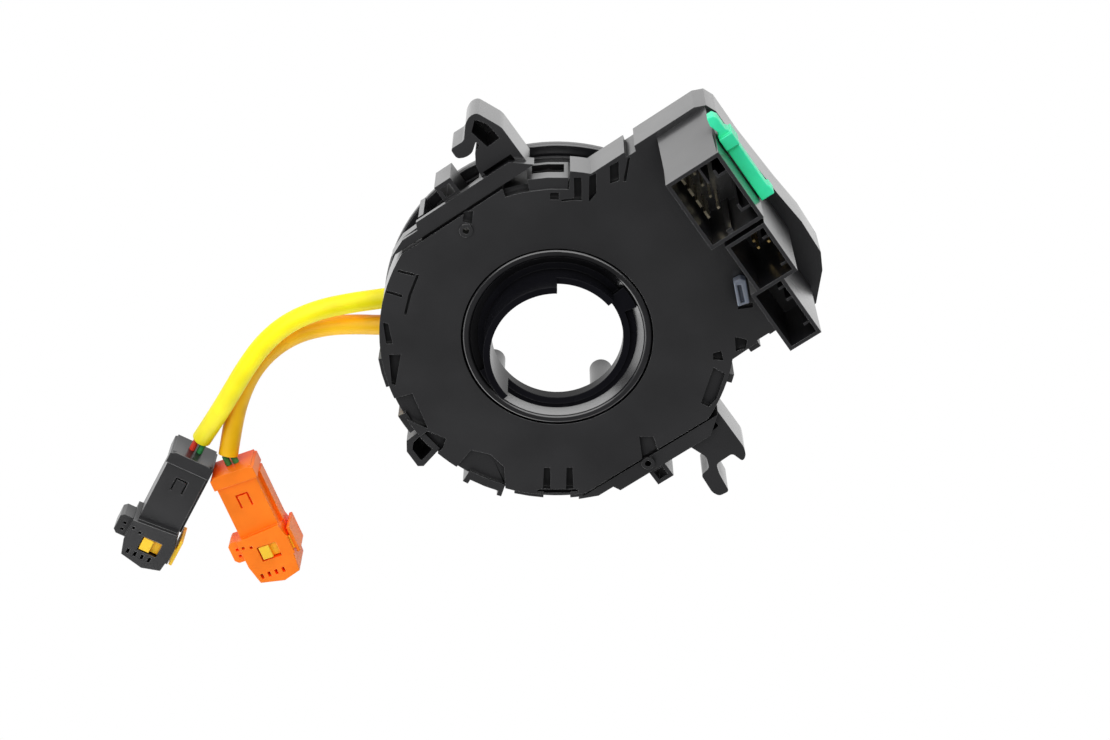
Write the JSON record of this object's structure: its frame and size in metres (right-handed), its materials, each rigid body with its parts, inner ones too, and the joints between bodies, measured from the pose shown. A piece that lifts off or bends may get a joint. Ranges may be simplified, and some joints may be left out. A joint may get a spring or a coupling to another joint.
{
  "type": "steering clock spring",
  "caption": "Steering spiral cable unit: a moulded housing with a turning hub, sockets on a side flange, hooked arms and two sleeved leads with angled plugs.",
  "frame": {"origin": "on the steering axis, at the surface that the part lies on", "axes": "+Z along the steering axis to the rear (column) side, +X towards the socket flange, +Y towards the hook beside the large socket"},
  "size_m": [0.2197, 0.1301, 0.0666],
  "materials": {
    "housing_black": "satin, moulded",
    "rotor_black": "satin, moulded",
    "cam_black": "semi-gloss, moulded",
    "terminal_tin": "tin plated",
    "terminal_gold": "plated",
    "peg_pale": "natural, moulded",
    "slip_sheet": "film",
    "ribbon_film": "film",
    "inner_natural": "natural, moulded",
    "lock_green": "satin, moulded",
    "lead_yellow": "soft sleeve",
    "lead_amber": "soft sleeve",
    "plug_black": "satin, moulded",
    "plug_orange": "satin, moulded",
    "plug_yellow": "satin, moulded",
    "wire_red": "insulated wire",
    "wire_green": "insulated wire"
  },
  "bodies": {
    "stator": {"rear_cover": "housing_black", "outer_case": "housing_black", "big_socket_blades": "terminal_tin", "mid_socket_pins": "terminal_gold", "locating_peg": "peg_pale", "upper_slip_sheet": "slip_sheet", "ribbon_cable": "ribbon_film", "case_terminal_block": "inner_natural"},
    "rotor": {"rotor": "rotor_black", "retainer_ring": "rotor_black", "cancel_cam": "cam_black", "lower_slip_sheet": "slip_sheet", "rotor_terminal_block": "inner_natural", "switch_socket": "rotor_black", "switch_socket_pins": "terminal_gold", "lead_gland": "rotor_black", "black_plug_lead": "lead_yellow", "orange_plug_lead": "lead_amber", "black_plug_housing": "plug_black", "black_plug_wires": "wire_red", "orange_plug_housing": "plug_orange", "orange_plug_wires": "wire_green"},
    "connector_lock": {"connector_lock": "lock_green"},
    "black_plug_lock": {"black_plug_lock": "plug_yellow"},
    "orange_plug_lock": {"orange_plug_lock": "plug_yellow"}
  },
  "joints": [
    {"name": "rotor_turn", "type": "hinge", "parent": "stator", "child": "rotor", "pos_m": [0, 0, 0], "axis": [0, 0, 1], "range_deg": [-900, 900], "deforming": ["ribbon_cable"]},
    {"name": "connector_lock_slide", "type": "slide", "parent": "stator", "child": "connector_lock", "axis": [1, 0, 0], "range_m": [0, 0.002]},
    {"name": "black_lock_slide", "type": "slide", "parent": "rotor", "child": "black_plug_lock", "axis": [0.4648, -0.8854, 0], "range_m": [0, 0.002]},
    {"name": "orange_lock_slide", "type": "slide", "parent": "rotor", "child": "orange_plug_lock", "axis": [0.9703, -0.2419, 0], "range_m": [0, 0.002]}
  ]
}
